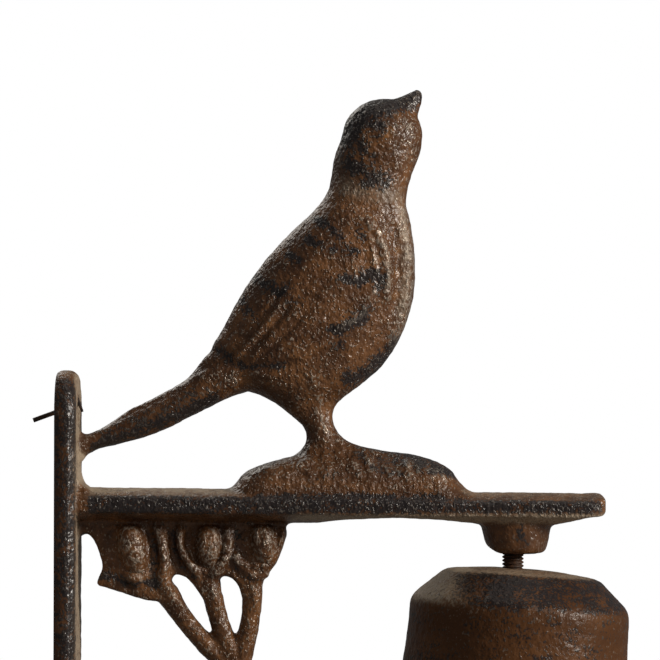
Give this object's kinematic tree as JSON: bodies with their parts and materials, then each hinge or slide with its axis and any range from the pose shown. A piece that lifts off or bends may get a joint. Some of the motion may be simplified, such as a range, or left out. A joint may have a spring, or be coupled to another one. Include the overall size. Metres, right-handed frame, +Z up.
{
  "type": "cast iron door bell on a bird wall bracket",
  "caption": "Hand bell of cast iron hung from a wall bracket with a bird, a tail stay and tulip buds, with a loose clapper on a wire link.",
  "frame": {"origin": "middle of the wall plate's flat back face", "axes": "+X out from the wall along the arm, +Z up, +Y to the bird's left side"},
  "size_m": [0.1781, 0.0932, 0.2147],
  "materials": {
    "rusted_casting": "rough sand casting, brown rust over black",
    "rusted_bell": "rough sand casting, brown rust over black",
    "rusted_ball": "dark rusted cast ball",
    "nail_steel": "dark rusted wire nail",
    "screw_steel": "dull rusted thread",
    "clapper_wire": "dull bent wire"
  },
  "bodies": {
    "bracket": {"bracket_casting": "rusted_casting", "wall_nail": "nail_steel", "hanger_eyebolt": "screw_steel", "hanger_nut": "screw_steel"},
    "bell": {"bell": "rusted_bell", "seat_washer": "screw_steel"},
    "link": {"clapper_link": "clapper_wire"},
    "clapper": {"clapper_rod": "clapper_wire", "clapper_ball": "rusted_ball"}
  },
  "joints": [
    {"name": "bell_spin", "type": "hinge", "parent": "bracket", "child": "bell", "pos_m": [0.1273, 0, 0.005], "axis": [0, 0, 1], "continuous": true},
    {"name": "link_swing", "type": "hinge", "parent": "bracket", "child": "link", "pos_m": [0.1273, 0, -0.01766], "axis": [1, 0, 0], "range_deg": [-10, 10]},
    {"name": "clapper_swing", "type": "hinge", "parent": "link", "child": "clapper", "pos_m": [0.1273, 0, -0.02441], "axis": [0, 1, 0], "range_deg": [-38, 38]}
  ]
}
